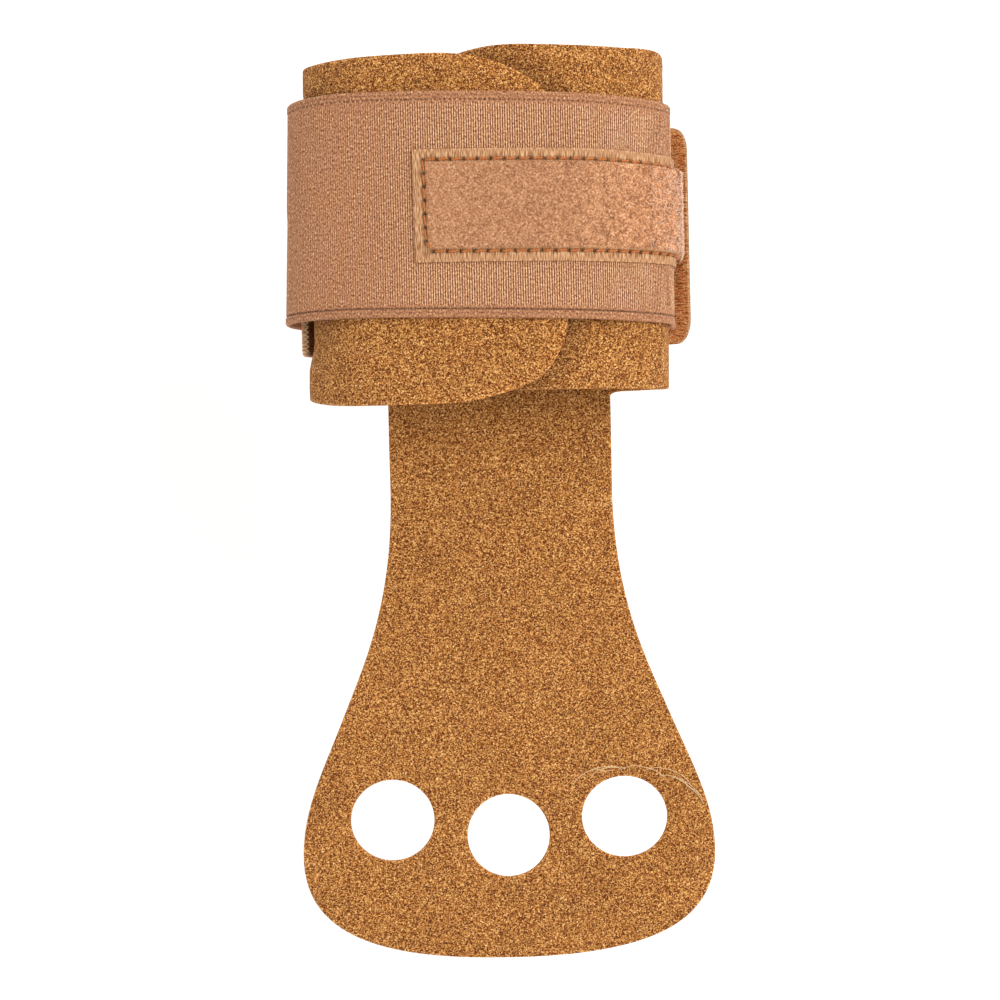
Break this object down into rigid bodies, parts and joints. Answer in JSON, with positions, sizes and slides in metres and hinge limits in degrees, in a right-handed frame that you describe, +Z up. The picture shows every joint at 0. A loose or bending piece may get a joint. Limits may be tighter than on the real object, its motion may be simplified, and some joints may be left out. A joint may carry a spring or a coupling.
{
  "type": "gymnastics hand grip",
  "caption": "Suede hand grip with finger holes, a wrist band with overlapping flaps, an elastic strap with a loop tape, and a hook tab.",
  "frame": {"origin": "centre of the base of the grip's box, on the surface that the grip lies on", "axes": "+X to the right across the grip seen from the front of the wrist, +Y from the finger holes to the wrist, +Z up from the surface to the front of the wrist band"},
  "size_m": [0.0984, 0.2118, 0.0412],
  "materials": {
    "palm_suede": "tan suede with a coarse nap",
    "band_suede": "tan suede with a coarse nap",
    "strap_elastic": "ribbed knitted elastic with rolled edges",
    "loop_pile": "brushed loop pile between woven edges",
    "hook_tape": "ribbed tape with short hooks",
    "stitching_thread": "twisted polyester thread"
  },
  "bodies": {
    "cuff": {"band_back": "band_suede", "neck_end": "palm_suede", "neck_stitching": "stitching_thread", "elastic_sewn_end": "strap_elastic", "anchor_stitching": "stitching_thread", "hook_tab_sewn_end": "hook_tape"},
    "left_flap": {"left_flap": "band_suede"},
    "right_flap": {"right_flap": "band_suede"},
    "strap": {"elastic_strap": "strap_elastic", "loop_tape": "loop_pile", "loop_tape_stitching": "stitching_thread"},
    "hook_tab": {"hook_tab": "hook_tape"},
    "palm": {"palm_leather": "palm_suede"},
    "finger_end": {"finger_end": "palm_suede"}
  },
  "joints": [
    {"name": "strap_opens", "type": "hinge", "parent": "cuff", "child": "strap", "pos_m": [-0.04634, 0.0695, 0.01061], "axis": [0, -1, 0], "range_deg": [0, 110]},
    {"name": "left_flap_opens", "type": "hinge", "parent": "cuff", "child": "left_flap", "pos_m": [-0.043, 0.0646, 0.016], "axis": [0, -1, 0], "range_deg": [0, 105]},
    {"name": "right_flap_opens", "type": "hinge", "parent": "cuff", "child": "right_flap", "pos_m": [0.0389, 0.067, 0.016], "axis": [0, 1, 0], "range_deg": [0, 34]},
    {"name": "hook_tab_opens", "type": "hinge", "parent": "cuff", "child": "hook_tab", "pos_m": [-0.03877, 0.0648, 0.00302], "axis": [0, 1, 0], "range_deg": [0, 140]},
    {"name": "palm_bends", "type": "hinge", "parent": "cuff", "child": "palm", "pos_m": [0, 0.02545, 0.0047], "axis": [-1, 0, 0], "range_deg": [-60, 60]},
    {"name": "finger_end_bends", "type": "hinge", "parent": "palm", "child": "finger_end", "pos_m": [0, -0.05455, 0.0009], "axis": [-1, 0, 0], "range_deg": [-45, 55]}
  ],
  "couplings": [
    {"joint": "left_flap_opens", "follows": "strap_opens", "ratio": 0.95},
    {"joint": "right_flap_opens", "follows": "strap_opens", "ratio": 0.3}
  ]
}
